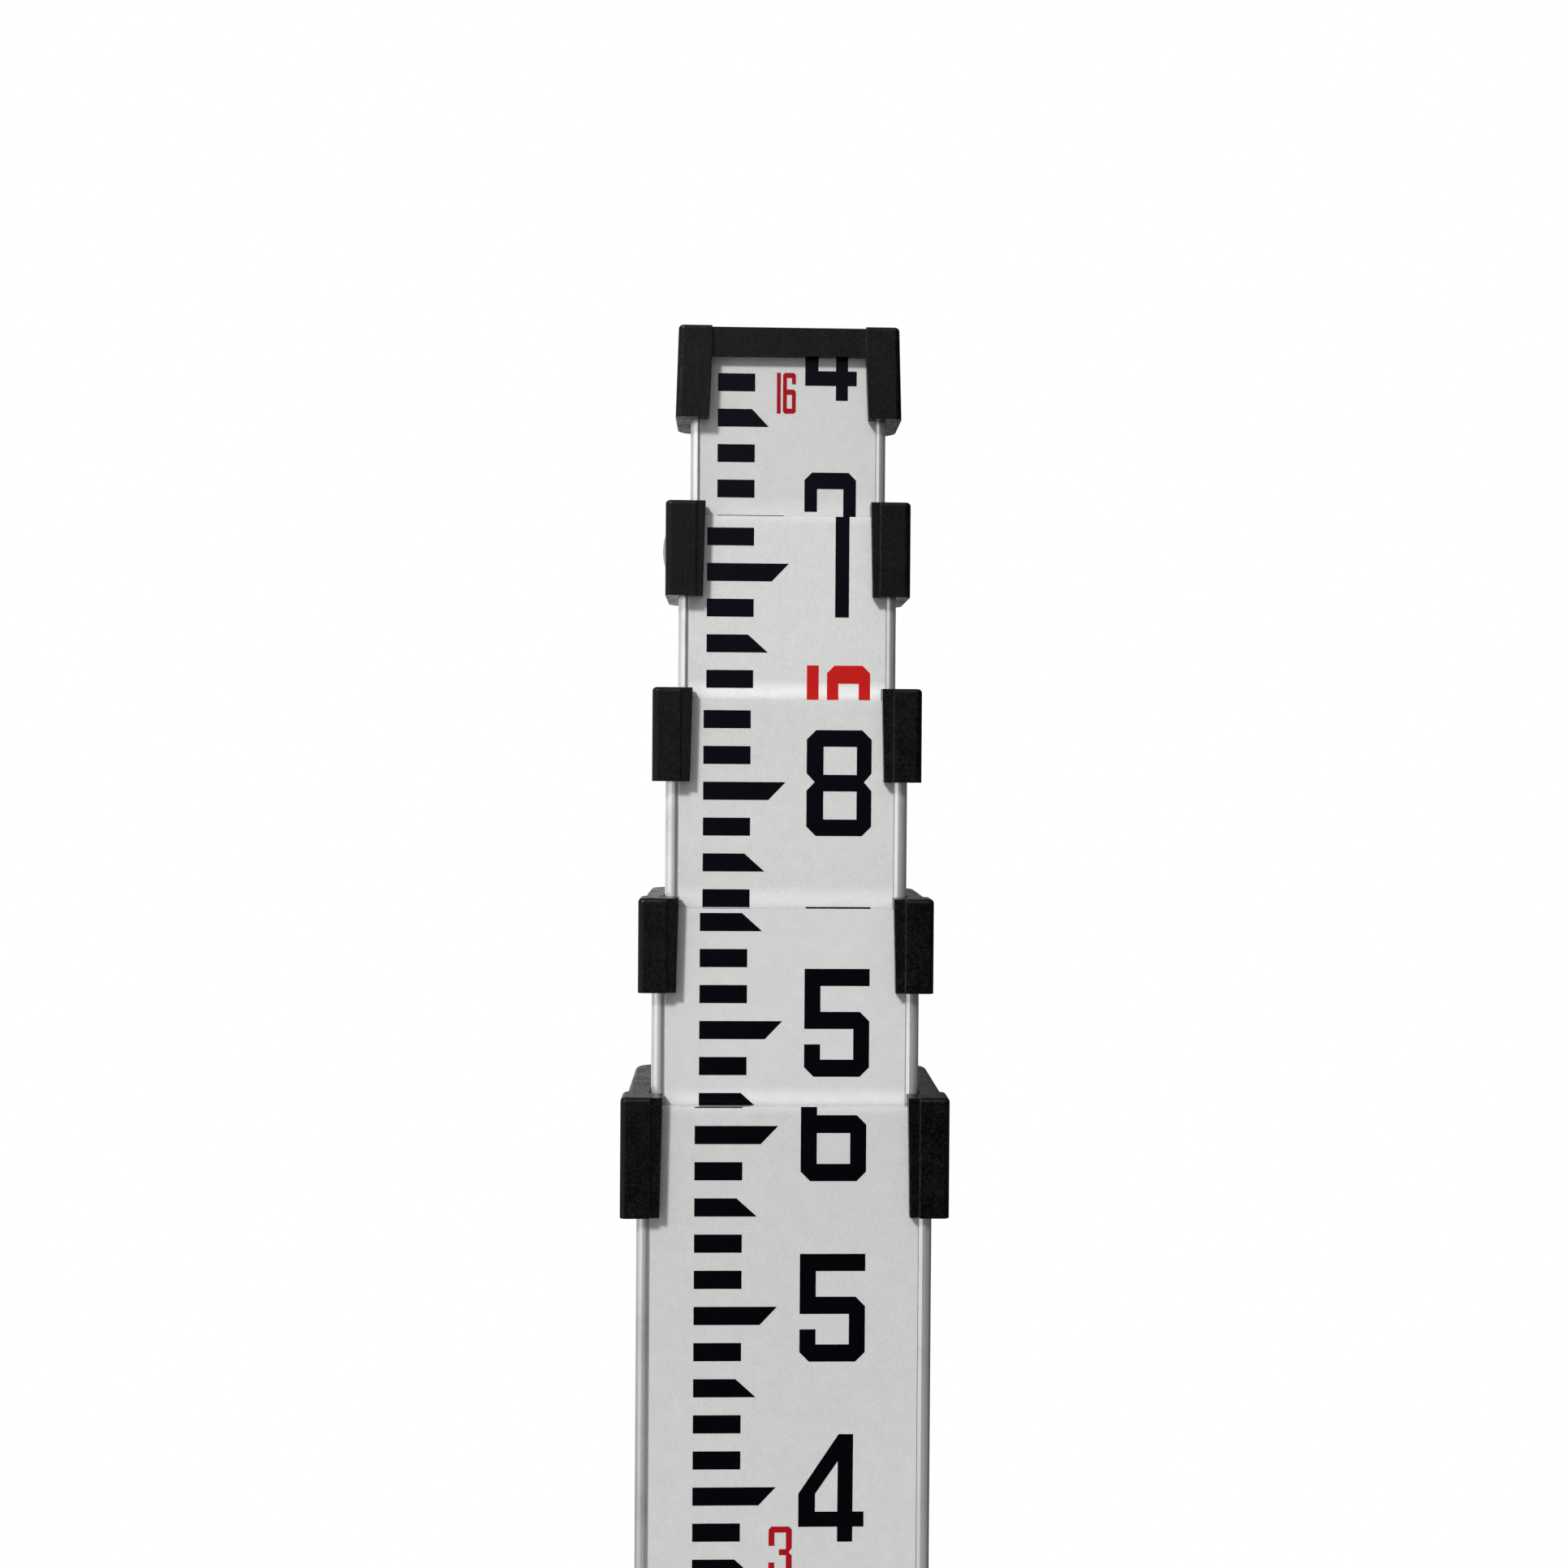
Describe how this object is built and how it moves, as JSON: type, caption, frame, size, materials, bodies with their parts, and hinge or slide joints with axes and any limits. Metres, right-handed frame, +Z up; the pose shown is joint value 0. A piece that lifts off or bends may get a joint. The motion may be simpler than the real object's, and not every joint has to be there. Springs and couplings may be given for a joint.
{
  "type": "leveling staff",
  "caption": "Telescopic leveling staff, closed: nested rectangular aluminium sections with black end collars, a bridged top cap, spring locks and a flat foot.",
  "frame": {"origin": "middle of the foot plate's underside, the zero of the graduation", "axes": "+Z up along the staff, +X to the right of the graduated face, +Y towards the back"},
  "size_m": [0.056, 0.0334, 1.2332],
  "materials": {
    "aluminium": "satin extruded, white enamel on the front and back panels",
    "black_plastic": "fine grained moulding",
    "nylon": "smooth",
    "rubber": "matt",
    "plate_steel": "hardened, ground",
    "fastener_steel": "bright",
    "spring_steel": "bright",
    "button_chrome": "polished"
  },
  "bodies": {
    "section_1": {"foot_plate": "plate_steel", "foot_screws": "fastener_steel", "foot_shoe": "black_plastic", "shoe_rivets": "fastener_steel", "foot_buffer": "rubber", "tube_1": "aluminium", "collar_1": "black_plastic", "collar_rivets_1": "fastener_steel"},
    "section_2": {"tube_2": "aluminium", "collar_2": "black_plastic", "collar_rivets_2": "fastener_steel", "guide_2": "nylon", "guide_rivets_2": "fastener_steel", "lock_spring_2": "spring_steel"},
    "section_3": {"tube_3": "aluminium", "collar_3": "black_plastic", "collar_rivets_3": "fastener_steel", "guide_3": "nylon", "guide_rivets_3": "fastener_steel", "lock_spring_3": "spring_steel"},
    "section_4": {"tube_4": "aluminium", "collar_4": "black_plastic", "collar_rivets_4": "fastener_steel", "guide_4": "nylon", "guide_rivets_4": "fastener_steel", "lock_spring_4": "spring_steel", "button_spring": "spring_steel"},
    "section_5": {"tube_5": "aluminium", "top_cap": "black_plastic", "cap_rivets": "fastener_steel", "guide_5": "nylon", "guide_rivets_5": "fastener_steel", "snap_spring": "spring_steel"},
    "lock_2": {"lock_pin_2": "button_chrome"},
    "lock_3": {"lock_pin_3": "button_chrome"},
    "lock_4": {"lock_pin_4": "button_chrome"},
    "lock_5": {"lock_pin_5": "button_chrome"},
    "button": {"release_button": "button_chrome"}
  },
  "joints": [
    {"name": "section_2_slide", "type": "slide", "parent": "section_1", "child": "section_2", "axis": [0, 0, 1], "range_m": [0, 0.8666]},
    {"name": "section_3_slide", "type": "slide", "parent": "section_2", "child": "section_3", "axis": [0, 0, 1], "range_m": [0, 0.9654]},
    {"name": "section_4_slide", "type": "slide", "parent": "section_3", "child": "section_4", "axis": [0, 0, 1], "range_m": [0, 0.9684]},
    {"name": "section_5_slide", "type": "slide", "parent": "section_4", "child": "section_5", "axis": [0, 0, 1], "range_m": [0, 0.9668]},
    {"name": "lock_2_press", "type": "slide", "parent": "section_2", "child": "lock_2", "axis": [1, 0, 0], "range_m": [0, 0.00095], "stiffness_N_per_m": 300, "springref_m": -0.00275, "deforming": ["lock_spring_2"]},
    {"name": "lock_3_press", "type": "slide", "parent": "section_3", "child": "lock_3", "axis": [1, 0, 0], "range_m": [0, 0.0008], "stiffness_N_per_m": 300, "springref_m": -0.00275, "deforming": ["lock_spring_3"]},
    {"name": "lock_4_press", "type": "slide", "parent": "section_4", "child": "lock_4", "axis": [1, 0, 0], "range_m": [0, 0.0007], "stiffness_N_per_m": 300, "springref_m": -0.00275, "deforming": ["lock_spring_4"]},
    {"name": "lock_5_press", "type": "slide", "parent": "section_5", "child": "lock_5", "axis": [1, 0, 0], "range_m": [0, 0.0006], "stiffness_N_per_m": 300, "springref_m": -0.002, "deforming": ["snap_spring"]},
    {"name": "release_button_press", "type": "slide", "parent": "section_4", "child": "button", "axis": [1, 0, 0], "range_m": [0, 0.0006], "stiffness_N_per_m": 500, "springref_m": -0.0004, "deforming": ["button_spring"]}
  ]
}
